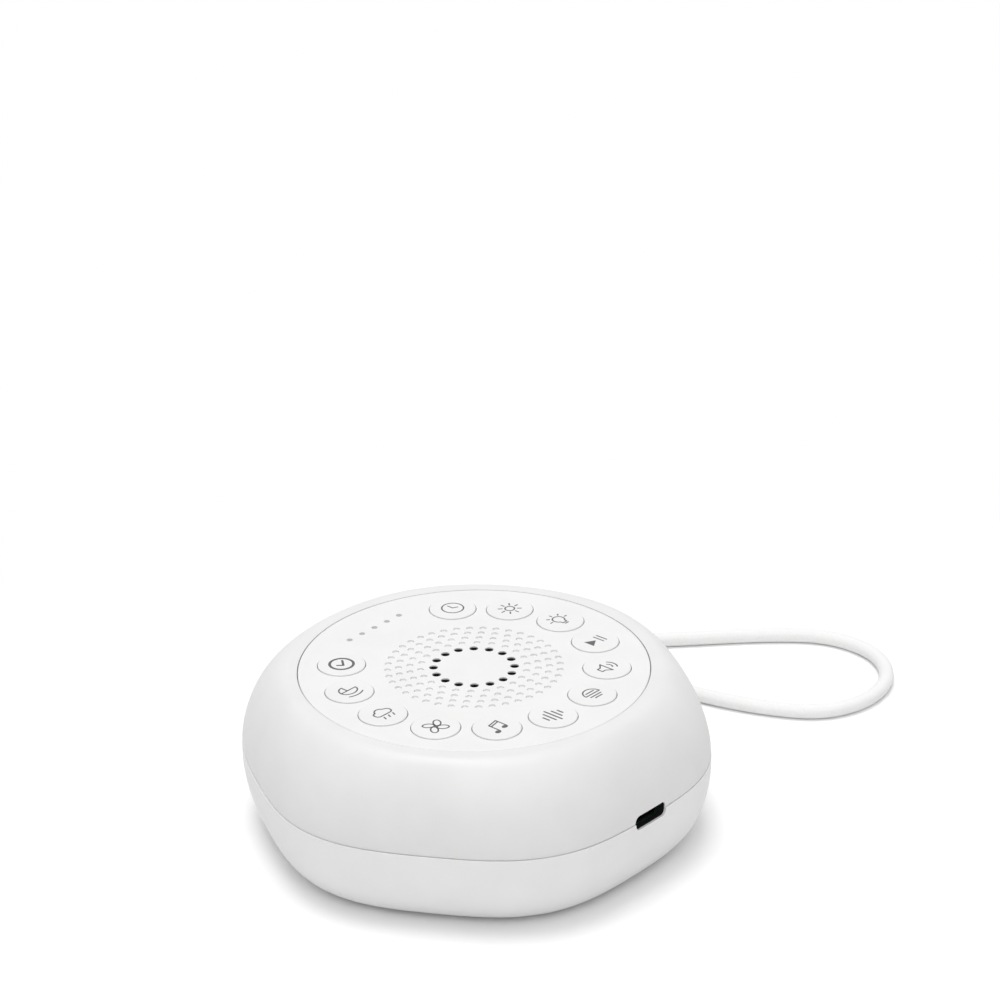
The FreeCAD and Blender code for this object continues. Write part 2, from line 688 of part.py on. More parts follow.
def hanging_strap():
    radius = STRAP_DIAMETER / 2
    shape, least, length = tube(strap_route(), radius)
    expected = math.pi * radius ** 2 * length
    print("strap length %.1f mm, least bend radius %.1f mm, volume share %.4f" % (length, least, shape.Volume / expected))
    return shape


def strap_anchor():
    """The crimp that both strap ends are moulded into; it bears on the rib behind the slot."""
    depth, width, height = ANCHOR
    body = Part.makeBox(depth, width, height, Vector(ANCHOR_FACE - depth, -width / 2, STRAP_Z - height / 2))
    body = body.makeFillet(0.8, [e for e in body.Edges if e.BoundBox.XLength > depth - 0.1])
    body.rotate(Vector(0, 0, 0), UP, STRAP_ANGLE)
    return body


def strap_grommet():
    start = ANCHOR_FACE + RUNNING_GAP + RIB_THICK
    outer = strap_opening(start, GROMMET_LENGTH, GROMMET_WALL).common(lower_outside())
    return outer.cut(strap_opening(start - 1, GROMMET_LENGTH + 2))


def ribbon_parts():
    """The flat cable that joins the two boards, and its sockets on them."""
    height = RIBBON_SOCKET[2]
    lower = block(RIBBON_SOCKET, 0, RIBBON_Y, MAIN_BOARD_TOP_Z)
    upper = block(RIBBON_SOCKET, 0, RIBBON_Y, KEY_BOARD_UNDER_Z - height)
    gap = KEY_BOARD_UNDER_Z - height - MAIN_BOARD_TOP_Z - height
    cable = block((RIBBON_WIDTH, RIBBON_THICK, gap), 0, RIBBON_Y, MAIN_BOARD_TOP_Z + height)
    return cable, Part.makeCompound([lower, upper])


def battery_wires():
    """The pair of insulated wires from the battery to the main board's underside."""
    edge = BATTERY_Y - BATTERY[1] / 2
    level = FLOOR_Z + BATTERY[2] - 3
    pair = []
    for x in BATTERY_WIRE_X:
        route = [(x, edge, level), (x, edge - 8, level), (x + 1, edge - 16, level + 2), (x + 1, edge - 20, level + 4),
                 (x + 1, edge - 20.5, MAIN_BOARD_UNDER_Z)]
        pair.append(tube(route, WIRE_RADIUS)[0])
    wires = Part.makeCompound(pair)
    return wires.cut(main_board())


def speaker_wires():
    """The pair of insulated wires from the speaker's basket to the main board's top."""
    foot = BASKET_FOOT_RADIUS + BASKET_THICK
    slope = (SPEAKER_RADIUS - foot) / (FLANGE_LOW - BASKET_LOW)
    top = BASKET_LOW + (SPEAKER_WIRE_REACH - WIRE_RADIUS - foot) / slope - 0.02
    end_y = main_board_middle() + 2.8
    pair = []
    for x in SPEAKER_WIRE_X:
        y = -math.sqrt(SPEAKER_WIRE_REACH ** 2 - x ** 2)
        route = [(x, y, top), (x, y - 0.6, top - 3.0), (x, y - 5.0, top - 6.5), (x, y - 12.0, top - 6.0),
                 (x, end_y + 0.5, MAIN_BOARD_TOP_Z + 3.6), (x, end_y, MAIN_BOARD_TOP_Z)]
        pair.append(tube(route, WIRE_RADIUS)[0])
    wires = Part.makeCompound(pair)
    return wires.cut(main_board())


def chip(size, place):
    return block(size, place[0], main_board_middle() + place[1], MAIN_BOARD_TOP_Z)


def night_light_leds():
    low = MAIN_BOARD_UNDER_Z - NIGHT_LED[2]
    return Part.makeCompound([block(NIGHT_LED, x, main_board_middle() + 1, low) for x in NIGHT_LED_X])


def save(name, shape):
    if shape.ShapeType == "Compound" and len(shape.Solids) == 1:
        shape = shape.Solids[0]
    if not shape.isValid() or not shape.Solids:
        print("check", name, shape.isValid(), len(shape.Solids))
    shape.exportStep("parts/%s.step" % name)


def main():
    os.makedirs("parts", exist_ok=True)
    save("upper_shell", upper_shell())
    save("lower_shell", lower_shell())
    save("top_panel", top_panel())
    for name, angle in zip(BUTTON_NAMES, BUTTON_ANGLES):
        save("button_" + name, button(angle))
        save("plunger_" + name, plunger(angle))
    save("status_light_pipes", light_pipes())
    save("status_leds", status_leds())
    save("key_board", key_board())
    save("key_switches", key_switches())
    save("key_board_screws", key_board_screws())
    save("acoustic_mesh", ring(0, MESH_RADIUS, PANEL_UNDER_Z - MESH_THICK, PANEL_UNDER_Z))
    save("speaker_gasket", ring(GASKET_INNER, SPEAKER_RADIUS, GASKET_LOW, PANEL_UNDER_Z))
    save("speaker_basket", speaker_basket())
    save("speaker_cone", speaker_cone())
    save("speaker_surround", speaker_surround())
    save("speaker_dust_cap", speaker_dust_cap())
    save("voice_coil", voice_coil())
    save("speaker_spider", speaker_spider())
    save("speaker_gap_plate", ring(COIL_RADIUS + COIL_WALL + 0.2, MAGNET_RADIUS - 0.8, GAP_PLATE_LOW, BASKET_LOW))
    save("speaker_magnet", ring(MAGNET_BORE, MAGNET_RADIUS, MAGNET_LOW, GAP_PLATE_LOW))
    save("speaker_back_plate", back_plate())
    save("main_board", main_board())
    save("main_board_screws", main_board_screws())
    save("charging_socket", charging_socket())
    save("charging_socket_tongue", socket_tongue())
    save("processor_chip", chip(PROCESSOR, PROCESSOR_PLACE))
    save("amplifier_chip", chip(AMPLIFIER, AMPLIFIER_PLACE))
    save("night_light_leds", night_light_leds())
    save("battery_cell", battery_cell())
    cable, sockets = ribbon_parts()
    save("ribbon_cable", cable)
    save("ribbon_sockets", sockets)
    save("battery_wires", battery_wires())
    save("speaker_wires", speaker_wires())
    save("rubber_feet", rubber_feet())
    save("case_screws", case_screws())
    save("strap_grommet", strap_grommet())
    save("strap_anchor", strap_anchor())
    save("hanging_strap", hanging_strap())


main()
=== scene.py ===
"""Looks of a portable white noise sound machine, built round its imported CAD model."""

import json
import math

import bmesh
import bpy
from mathutils import Matrix, Vector


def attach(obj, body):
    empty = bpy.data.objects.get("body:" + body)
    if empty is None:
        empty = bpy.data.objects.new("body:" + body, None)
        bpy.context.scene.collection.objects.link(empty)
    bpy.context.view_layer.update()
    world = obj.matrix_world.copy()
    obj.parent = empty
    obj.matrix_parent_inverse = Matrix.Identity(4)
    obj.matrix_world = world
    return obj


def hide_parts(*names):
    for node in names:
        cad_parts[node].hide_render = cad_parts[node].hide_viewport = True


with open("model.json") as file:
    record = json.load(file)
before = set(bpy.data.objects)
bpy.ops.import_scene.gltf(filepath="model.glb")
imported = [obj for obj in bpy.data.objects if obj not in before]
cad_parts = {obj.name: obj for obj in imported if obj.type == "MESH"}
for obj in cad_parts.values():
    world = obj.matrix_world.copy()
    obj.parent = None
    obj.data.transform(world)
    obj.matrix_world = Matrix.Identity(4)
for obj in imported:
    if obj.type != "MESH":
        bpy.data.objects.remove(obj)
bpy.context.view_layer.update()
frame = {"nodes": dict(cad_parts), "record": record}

# Sizes below are millimetres, as in the CAD, unless a comment says metres
MM = 0.001
TOP_Z = 36.9
SEAM_Z = 18.25
BASE_Z = 0.9
FLOOR_INSIDE_Z = 2.9
SEAM_RADIUS = 49.65
CORNER_SWELL = 1.08
BASE_SWELL = 0.864
SIDES = 6
RIM_RADIUS = 39.7
BASE_RADIUS = 40.7
UPPER_FULLNESS = 1.72
LOWER_FULLNESS = 2.2
WALL = 2.0
HALF_GAP = 0.05
SEAM_TUCK = 0.3
TUCK_TURN = math.pi / 14
LIP_OUTER = 48.55
LIP_INNER = 47.55
LIP_TOP_Z = 19.85
LIP_FOOT_Z = 16.7
REBATE_RADIUS = 48.65
REBATE_Z = 19.95
RECESS_RADIUS = 37.55
RECESS_Z = 34.5
LEDGE_RADIUS = 34.4
LEDGE_UNDER_Z = 32.7
EDGE_BREAK = 0.06
AROUND = 360
SKIN_ROWS = 60
LINING_ROWS = 20
FLAT_RADIUS = 20.0

PORT_SIZE = (9.6, 3.2)
PORT_CORNER = 1.2
PORT_Z = 18.35
PORT_CUT_START = -43.0
PORT_CUT_REACH = 8.0
STRAP_ANGLE = math.radians(30)
STRAP_SLOT = (9.4, 5.2)
STRAP_SLOT_Z = 9.0
STRAP_CUT_START = 42.0
STRAP_CUT_REACH = 10.0
SCREW_CIRCLE = 37.2
SCREW_RECESS_RADIUS = 2.5
FOOT_CIRCLE = 32.5
FOOT_RECESS_RADIUS = 5.0
FOOT_RECESS_Z = 1.5
SCREW_RECESS_Z = 2.4
CUT_BELOW = 1.0

BUTTON_CIRCLE = 28.2
BUTTON_PLACES = 14
BUTTON_NAMES = (
    "short_timer", "bedtime", "rain_cloud", "fan", "lullaby", "white_noise",
    "ocean", "volume", "play_pause", "night_light", "brightness", "long_timer",
)
INK_SUNK = 0.04
INK_PROUD = 0.005
INK_LINE = 0.34
DIAL_LINE = 0.6
HAND_LINE = 0.5
BAR_LINE = 0.42
# Where strokes cross, line ends and filled shapes lie a little lower than lines
END_SHARE = 0.6
FILL_SHARE = 0.8
MITRE_LIMIT = 1.2
END_CORNERS = 16

# Shares of light that the main mouldings reflect, and the painted shade inside the port's opening and down
# the grille's first ring of holes
UPPER_TONE = 0.75
LOWER_TONE = 0.815
PANEL_TONE = 0.79
BUTTON_TONE = 0.785
PAINTED_SHADE_DIM = 0.985
FIRST_RING_REACH = 10.2
HOLE_SHADE_Z = 36.6
PORT_SHADE_CENTRE = (0.0, -45.8, 18.35)
PORT_SHADE_HALF = (4.95, 2.2, 1.75)

# Patterns of the materials: sizes and reliefs in metres, the rest as shares
MOTTLE_SIZE = 0.009
MOTTLE_GLOSS = 0.04
METAL_MARK = 0.002
METAL_STRETCH = (1.0, 12.0, 12.0)
METAL_DARK = 0.9
METAL_GLOSS = 0.08
METAL_RELIEF = 0.000003
WEAVE_LOOSENESS = 0.55
WEAVE_SHEEN = 0.15
TRACK_SCALE = 260.0
TRACK_WIDTH = 0.06
TRACK_RELIEF = 0.00002
LACQUER = ((0.02, 0.17, 0.08, 1.0), (0.03, 0.21, 0.10, 1.0))
LACQUER_ON_TRACK = (0.07, 0.32, 0.14, 1.0)
LACQUER_GLOSS = (0.25, 0.4)
WHITE = (1.0, 1.0, 1.0, 1.0)

# The studio: shares of white, angles in degrees, lengths in metres
SKY_LOW = 0.22
SKY_HIGH = 0.84
GROUND = 0.95
FLOOR_BOUNCE = 0.85
FLOOR_SEEN = 1.0
FLOOR_CENTRE = (0.03, 0.0)
FLOOR_RADIUS = 0.17
FLOOR_CORNERS = 128
LIGHT_REACH = 0.15
# Name, azimuth, elevation, spread and strength of each light
LIGHTS = (("overhead", 87.0, 82.8, 32.0, 1.19), ("front", 222.0, 38.0, 40.0, 0.69))

# The photograph's camera: place in metres, angles in degrees
CAMERA_PLACE = (-0.47323, -0.43121, 0.3647)
CAMERA_TURN = -48.2
CAMERA_TILT = 24.304
CAMERA_ROLL = -0.852
CAMERA_LENS = 121.94
CAMERA_SENSOR = 36.0
CAMERA_CLIP = (0.01, 60.0)

# The strap's route in metres
STRAP_RADIUS = 0.0017
STRAP_ROUTE = (
    (0.036276, 0.023369, 0.009), (0.046581, 0.029319, 0.009), (0.0545, 0.0375, 0.0052),
    (0.0660, 0.0415, 0.0017), (0.0785, 0.0328, 0.0017), (0.0935, 0.0180, 0.0017),
    (0.1090, 0.0032, 0.0017), (0.1174, -0.0085, 0.0017), (0.1170, -0.0225, 0.0017),
    (0.1080, -0.0323, 0.0017), (0.0955, -0.0346, 0.0017), (0.0845, -0.0300, 0.0017),
    (0.0780, -0.0185, 0.0017), (0.0735, -0.0035, 0.0017), (0.0720, 0.0095, 0.0017),
    (0.0665, 0.0205, 0.0017), (0.0575, 0.0265, 0.0046), (0.047382, 0.024931, 0.009),
    (0.038376, 0.019731, 0.009),
)


def add_camera():
    """The camera, at the photograph's place and angle."""
    data = bpy.data.cameras.new("camera")
    data.lens = CAMERA_LENS
    data.sensor_width = CAMERA_SENSOR
    data.clip_start, data.clip_end = CAMERA_CLIP
    camera = bpy.data.objects.new("camera", data)
    bpy.context.scene.collection.objects.link(camera)
    turn = Matrix.Rotation(math.radians(CAMERA_TURN), 4, "Z")
    tilt = Matrix.Rotation(math.radians(90 - CAMERA_TILT), 4, "X")
    roll = Matrix.Rotation(math.radians(CAMERA_ROLL), 4, "Z")
    camera.matrix_world = Matrix.Translation(CAMERA_PLACE) @ turn @ tilt @ roll
    bpy.context.scene.camera = camera


def add_strap():
    """The free cord: one smooth line on the route's points, whose radius makes its thickness."""
    data = bpy.data.curves.new("braided_strap", "CURVE")
    data.dimensions = "3D"
    data.bevel_depth = 1.0
    data.bevel_resolution = 8
    data.resolution_u = 16
    data.use_fill_caps = True
    line = data.splines.new("NURBS")
    line.points.add(len(STRAP_ROUTE) - 1)
    for point, place in zip(line.points, STRAP_ROUTE):
        point.co = (*place, 1.0)
        point.radius = STRAP_RADIUS
    line.order_u = 3
    line.use_endpoint_u = True
    strap = bpy.data.objects.new("braided_strap", data)
    bpy.context.scene.collection.objects.link(strap)
    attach(strap, "case")
    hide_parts("hanging_strap")
    return strap


add_camera()
strap = add_strap()


def start_look(name):
    """A new material with its tree, shader and coordinates in the object's own space."""
    made = bpy.data.materials.new(name)
    made.use_nodes = True
    tree = made.node_tree
    place = tree.nodes.new("ShaderNodeTexCoord")
    return made, tree, tree.nodes["Principled BSDF"], place.outputs["Object"]


def clouds(tree, place, size, detail=2.0):
    """A soft pattern with blobs of about size metres."""
    made = tree.nodes.new("ShaderNodeTexNoise")
    made.inputs["Scale"].default_value = 1.0 / size
    made.inputs["Detail"].default_value = detail
    tree.links.new(place, made.inputs["Vector"])
    return made.outputs[0]


def tinted(tree, value, dark, light, low=0.35, high=0.65):
    """Turns a pattern into a colour between two."""
    ramp = tree.nodes.new("ShaderNodeValToRGB")
    ramp.color_ramp.elements[0].position = low
    ramp.color_ramp.elements[0].color = (*dark, 1.0)
    ramp.color_ramp.elements[1].position = high
    ramp.color_ramp.elements[1].color = (*light, 1.0)
    tree.links.new(value, ramp.inputs[0])
    return ramp.outputs[0]


def spread_between(tree, value, low, high):
    """Maps a pattern onto a range of values."""
    made = tree.nodes.new("ShaderNodeMapRange")
    made.inputs["To Min"].default_value = low
    made.inputs["To Max"].default_value = high
    tree.links.new(value, made.inputs["Value"])
    return made.outputs["Result"]


def raised(tree, value, relief, shader):
    """Uses a pattern as relief of so many metres."""
    bump = tree.nodes.new("ShaderNodeBump")
    bump.inputs["Strength"].default_value = 1.0
    bump.inputs["Distance"].default_value = relief
    tree.links.new(value, bump.inputs["Height"])
    tree.links.new(bump.outputs["Normal"], shader.inputs["Normal"])


def grey(tone):
    """A very slightly warm grey."""
    return (tone, tone, tone * 0.997)


def node_math(tree, operation, *values):
    """A math node on sockets and numbers."""
    made = tree.nodes.new("ShaderNodeMath")
    made.operation = operation
    for index, value in enumerate(values):
        if isinstance(value, float):
            made.inputs[index].default_value = value
        else:
            tree.links.new(value, made.inputs[index])
    return made.outputs[0]


def port_painted_shade(tree, place):
    """Mask of painted shade: 1 within the charging port, behind its rim."""
    parts = tree.nodes.new("ShaderNodeSeparateXYZ")
    tree.links.new(place, parts.inputs[0])
    shares = []
    for side, middle, half in zip(parts.outputs, PORT_SHADE_CENTRE, PORT_SHADE_HALF):
        shares.append(node_math(tree, "COMPARE", side, middle * MM, half * MM))
    return node_math(tree, "MULTIPLY", node_math(tree, "MULTIPLY", shares[0], shares[1]), shares[2])


def grille_ring_painted_shade(tree, place):
    """Mask of painted shade: 1 down in the grille's first ring of holes."""
    parts = tree.nodes.new("ShaderNodeSeparateXYZ")
    tree.links.new(place, parts.inputs[0])
    squares = [node_math(tree, "MULTIPLY", side, side) for side in parts.outputs[:2]]
    reach = node_math(tree, "ADD", *squares)
    near = node_math(tree, "LESS_THAN", reach, (FIRST_RING_REACH * MM) ** 2)
    low = node_math(tree, "LESS_THAN", parts.outputs[2], HOLE_SHADE_Z * MM)
    return node_math(tree, "MULTIPLY", near, low)


def darken_as_shade(tree, colour, share):
    """Paints shade: darkens a colour where the share is 1."""
    scaled = tree.nodes.new("ShaderNodeVectorMath")
    scaled.operation = "SCALE"
    tree.links.new(colour, scaled.inputs[0])
    tree.links.new(node_math(tree, "MULTIPLY_ADD", share, -PAINTED_SHADE_DIM, 1.0), scaled.inputs["Scale"])
    return scaled.outputs[0]


def moulded(name, colour, roughness, spread=0.012, grain=0.0003, relief=0.000004, painted_shade_mask=None):
    """Plastic, rubber, paper or enamel: faint mottling and a fine grain."""
    made, tree, shader, place = start_look(name)
    blobs = clouds(tree, place, MOTTLE_SIZE)
    dark = [c * (1 - spread) for c in colour]
    light = [min(1.0, c * (1 + spread)) for c in colour]
    tone = tinted(tree, blobs, dark, light)
    # Painted shade: darker inside the port's opening or down the grille's first ring of holes
    if painted_shade_mask:
        tone = darken_as_shade(tree, tone, painted_shade_mask(tree, place))
    tree.links.new(tone, shader.inputs["Base Color"])
    gloss = spread_between(tree, blobs, roughness - MOTTLE_GLOSS, roughness + MOTTLE_GLOSS)
    tree.links.new(gloss, shader.inputs["Roughness"])
    raised(tree, clouds(tree, place, grain, 3.0), relief, shader)
    return made


def drawn_metal(name, colour, roughness):
    """Metal with fine marks along one direction."""
    made, tree, shader, place = start_look(name)
    shader.inputs["Metallic"].default_value = 1.0
    stretched = tree.nodes.new("ShaderNodeMapping")
    stretched.inputs["Scale"].default_value = METAL_STRETCH
    tree.links.new(place, stretched.inputs["Vector"])
    marks = clouds(tree, stretched.outputs[0], METAL_MARK, 4.0)
    dark = [c * METAL_DARK for c in colour]
    tree.links.new(tinted(tree, marks, dark, colour), shader.inputs["Base Color"])
    gloss = spread_between(tree, marks, roughness - METAL_GLOSS, roughness + METAL_GLOSS)
    tree.links.new(gloss, shader.inputs["Roughness"])
    raised(tree, marks, METAL_RELIEF, shader)
    return made


def woven(name, colour, pitch, relief, depth=0.75, roughness=0.85):
    """Cloth or braid: small rounded lumps with darker joints."""
    made, tree, shader, place = start_look(name)
    lumps = tree.nodes.new("ShaderNodeTexVoronoi")
    lumps.inputs["Scale"].default_value = 1.0 / pitch
    lumps.inputs["Randomness"].default_value = WEAVE_LOOSENESS
    tree.links.new(place, lumps.inputs["Vector"])
    crown = spread_between(tree, lumps.outputs["Distance"], 1.0, 0.0)
    dark = [c * depth for c in colour]
    tree.links.new(tinted(tree, crown, dark, colour, 0.2, 0.7), shader.inputs["Base Color"])
    shader.inputs["Roughness"].default_value = roughness
    shader.inputs["Sheen Weight"].default_value = WEAVE_SHEEN
    raised(tree, crown, relief, shader)
    return made


def board_look(name):
    """Green lacquer over copper tracks."""
    made, tree, shader, place = start_look(name)
    tracks = tree.nodes.new("ShaderNodeTexBrick")
    tracks.inputs["Scale"].default_value = TRACK_SCALE
    tracks.inputs["Mortar Size"].default_value = TRACK_WIDTH
    tracks.inputs["Color1"].default_value = LACQUER[0]
    tracks.inputs["Color2"].default_value = LACQUER[1]
    tracks.inputs["Mortar"].default_value = LACQUER_ON_TRACK
    tree.links.new(place, tracks.inputs["Vector"])
    tree.links.new(tracks.outputs["Color"], shader.inputs["Base Color"])
    gloss = spread_between(tree, clouds(tree, place, METAL_MARK), *LACQUER_GLOSS)
    tree.links.new(gloss, shader.inputs["Roughness"])
    raised(tree, tracks.outputs["Fac"], TRACK_RELIEF, shader)
    return made


LOOKS = {
    # The shells are painted dark inside the port's opening, and the panel down its first ring of holes, as
    # painted shade
    "shell_upper": moulded("shell_upper", grey(UPPER_TONE), 0.42, painted_shade_mask=port_painted_shade),
    "shell_lower": moulded("shell_lower", grey(LOWER_TONE), 0.42, painted_shade_mask=port_painted_shade),
    "panel_white": moulded("panel_white", grey(PANEL_TONE), 0.45, painted_shade_mask=grille_ring_painted_shade),
    "button_white": moulded("button_white", grey(BUTTON_TONE), 0.4),
    "light_pipe": moulded("light_pipe", (0.40, 0.40, 0.40), 0.3),
    "led_body": moulded("led_body", (0.86, 0.84, 0.74), 0.25),
    "circuit_board": board_look("circuit_board"),
    "dark_plastic": moulded("dark_plastic", (0.03, 0.03, 0.032), 0.5, spread=0.1),
    "screw_steel": drawn_metal("screw_steel", (0.55, 0.55, 0.56), 0.35),
    "black_cloth": woven("black_cloth", (0.012, 0.012, 0.012), 0.0003, 0.00005),
    "gasket_foam": woven("gasket_foam", (0.06, 0.06, 0.06), 0.0006, 0.0001),
    "basket_enamel": moulded("basket_enamel", (0.05, 0.05, 0.055), 0.35, spread=0.08),
    "cone_paper": moulded("cone_paper", (0.09, 0.085, 0.08), 0.8, spread=0.15, relief=0.00002),
    "surround_rubber": moulded("surround_rubber", (0.03, 0.03, 0.03), 0.6, spread=0.1),
    "coil_copper": drawn_metal("coil_copper", (0.72, 0.38, 0.20), 0.35),
    "spider_cloth": woven("spider_cloth", (0.60, 0.48, 0.22), 0.0005, 0.00008),
    "magnet_steel": drawn_metal("magnet_steel", (0.50, 0.50, 0.52), 0.4),
    "ferrite": moulded("ferrite", (0.07, 0.07, 0.075), 0.7, spread=0.12, relief=0.00002),
    "socket_steel": drawn_metal("socket_steel", (0.10, 0.10, 0.105), 0.3),
    "cell_foil": drawn_metal("cell_foil", (0.68, 0.69, 0.71), 0.4),
    "ribbon_film": moulded("ribbon_film", (0.82, 0.83, 0.84), 0.25),
    "ivory_plastic": moulded("ivory_plastic", (0.75, 0.72, 0.62), 0.45),
    "wire_sleeve": moulded("wire_sleeve", (0.45, 0.03, 0.03), 0.5, spread=0.06),
    "foot_rubber": moulded("foot_rubber", (0.45, 0.45, 0.45), 0.8, spread=0.04, relief=0.00001),
    "grommet_plastic": moulded("grommet_plastic", (0.74, 0.74, 0.735), 0.45),
    "strap_cord": woven("strap_cord", (0.85, 0.85, 0.845), 0.0006, 0.00003, depth=0.97),
    "ink": moulded("ink", (0.10, 0.10, 0.105), 0.6, spread=0.05),
}
strap.data.materials.append(LOOKS["strap_cord"])


def smooth(mesh, angle=30.0):
    """Shades faces smoothly, but not across edges sharper than an angle."""
    mesh.polygons.foreach_set("use_smooth", [True] * len(mesh.polygons))
    mesh.set_sharp_from_angle(angle=math.radians(angle))


def dress_cad_nodes():
    """Each CAD node gets the look of its material slot."""
    for entry in frame["record"]["subparts"]:
        node = frame["nodes"][entry["node"]]
        look = LOOKS[entry["material_slot"]]
        smooth(node.data)
        if not node.material_slots:
            node.data.materials.append(look)
        for place in node.material_slots:
            place.material = look


def side_rows(seam_radius, end_radius, end_z, fullness, end_swell, tuck, rows, start):
    """Rows of (radius, swell, z) from start above or below the seam to the end level."""
    first = math.asin((start / abs(end_z - SEAM_Z)) ** (fullness / 2))
    made = []
    for k in range(rows + 1):
        turn = first + (math.pi / 2 - first) * k / rows
        share = max(0.0, math.cos(turn)) ** (2 / fullness)
        height = math.sin(turn) ** (2 / fullness)
        radius = end_radius + (seam_radius - end_radius) * share
        radius -= tuck * max(0.0, 1 - turn / TUCK_TURN) ** 2
        swell = end_swell + (CORNER_SWELL - end_swell) * share
        made.append((radius, swell, SEAM_Z + (end_z - SEAM_Z) * height))
    return made


def spun_mesh(name, rows, closed):
    """A mesh through rows of (radius, swell, z); a row of radius 0 is one point."""
    verts = []
    faces = []
    rings = []
    for radius, swell, z in rows:
        if radius == 0:
            rings.append([len(verts)] * AROUND)
            verts.append((0.0, 0.0, z * MM))
            continue
        rings.append(list(range(len(verts), len(verts) + AROUND)))
        for j in range(AROUND):
            angle = 2 * math.pi * j / AROUND
            reach = (radius + swell * math.cos(SIDES * angle)) * MM
            verts.append((reach * math.cos(angle), reach * math.sin(angle), z * MM))
    followers = rings[1:] + rings[:1] if closed else rings[1:]
    for low, high in zip(rings, followers):
        for j in range(AROUND):
            k = (j + 1) % AROUND
            faces.append(list(dict.fromkeys((low[j], low[k], high[k], high[j]))))
    mesh = bpy.data.meshes.new(name)
    mesh.from_pydata(verts, [], faces)
    mesh.update()
    return mesh


def add_prism(shape, loop, place, across, rise, along):
    """Adds a prism on a loop of (a, b) points, in millimetres, to the lists (verts, faces)."""
    verts, faces = shape
    start = len(verts)
    count = len(loop)
    for shift in (Vector((0, 0, 0)), along):
        for a, b in loop:
            verts.append((place + across * a + rise * b + shift) * MM)
    faces.append([start + k for k in reversed(range(count))])
    faces.append([start + count + k for k in range(count)])
    for k in range(count):
        after = (k + 1) % count
        faces.append([start + k, start + after, start + count + after, start + count + k])


def rounded_loop(width, height, corner, steps=8):
    """The points of a rectangle with rounded corners."""
    loop = []
    for sign_w, sign_h, begin in ((1, 1, 0), (-1, 1, 90), (-1, -1, 180), (1, -1, 270)):
        for k in range(steps + 1):
            turn = math.radians(begin + 90 * k / steps)
            point = (sign_w * (width / 2 - corner) + corner * math.cos(turn),
                     sign_h * (height / 2 - corner) + corner * math.sin(turn))
            if not loop or math.dist(loop[-1], point) > 1e-4:
                loop.append(point)
    if math.dist(loop[0], loop[-1]) < 1e-4:
        loop.pop()
    return loop


def round_loop(radius, steps=48):
    """The points of a circle."""
    return [(radius * math.cos(2 * math.pi * k / steps), radius * math.sin(2 * math.pi * k / steps))
            for k in range(steps)]


AXIS_X = Vector((1, 0, 0))
AXIS_Y = Vector((0, 1, 0))
AXIS_Z = Vector((0, 0, 1))


def cut_openings(piece, shape):
    """Takes the prisms in shape out of a piece."""
    mesh = bpy.data.meshes.new("openings")
    mesh.from_pydata(shape[0], [], shape[1])
    tidy = bmesh.new()
    tidy.from_mesh(mesh)
    bmesh.ops.recalc_face_normals(tidy, faces=tidy.faces)
    tidy.to_mesh(mesh)
    tidy.free()
    cutter = bpy.data.objects.new("openings", mesh)
    bpy.context.scene.collection.objects.link(cutter)
    step = piece.modifiers.new("openings", "BOOLEAN")
    step.operation = "DIFFERENCE"
    step.solver = "EXACT"
    step.object = cutter
    bpy.context.view_layer.update()
    graph = bpy.context.evaluated_depsgraph_get()
    result = bpy.data.meshes.new_from_object(piece.evaluated_get(graph))
    piece.modifiers.clear()
    piece.data = result
    bpy.data.objects.remove(cutter)
    bpy.data.meshes.remove(mesh)


def add_piece(name, mesh):
    """Links a new piece into the scene."""
    piece = bpy.data.objects.new(name, mesh)
    bpy.context.scene.collection.objects.link(piece)
    return piece


def finish_piece(piece, body, slot, *nodes):
    """Shades a piece, gives it its look, hangs it on what it rides on and hides the CAD nodes it replaces.
    """
    smooth(piece.data)
    piece.data.materials.clear()
    piece.data.materials.append(LOOKS[slot])
    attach(piece, body)
    if nodes:
        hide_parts(*nodes)


def port_prism(shape):
    """The charging port's opening, through both shells."""
    loop = rounded_loop(*PORT_SIZE, PORT_CORNER)
    place = Vector((0, PORT_CUT_START, PORT_Z))
    add_prism(shape, loop, place, AXIS_X, AXIS_Z, AXIS_Y * -PORT_CUT_REACH)


def base_prisms(shape):
    """The recesses under the base for the feet and the case screws."""
    for k in range(4):
        for circle, radius, angle, top in (
            (SCREW_CIRCLE, SCREW_RECESS_RADIUS, 45 + 90 * k, SCREW_RECESS_Z),
            (FOOT_CIRCLE, FOOT_RECESS_RADIUS, 90 * k, FOOT_RECESS_Z),
        ):
            turn = math.radians(angle)
            place = Vector((circle * math.cos(turn), circle * math.sin(turn), -CUT_BELOW))
            add_prism(shape, round_loop(radius), place, AXIS_X, AXIS_Y, AXIS_Z * (top + CUT_BELOW))


def strap_prism(shape):
    """The slot that the strap leaves by."""
    out = Vector((math.cos(STRAP_ANGLE), math.sin(STRAP_ANGLE), 0))
    side = AXIS_Z.cross(out)
    loop = rounded_loop(*STRAP_SLOT, STRAP_SLOT[1] / 2, 12)
    place = out * STRAP_CUT_START + AXIS_Z * STRAP_SLOT_Z
    add_prism(shape, loop, place, side, AXIS_Z, out * STRAP_CUT_REACH)


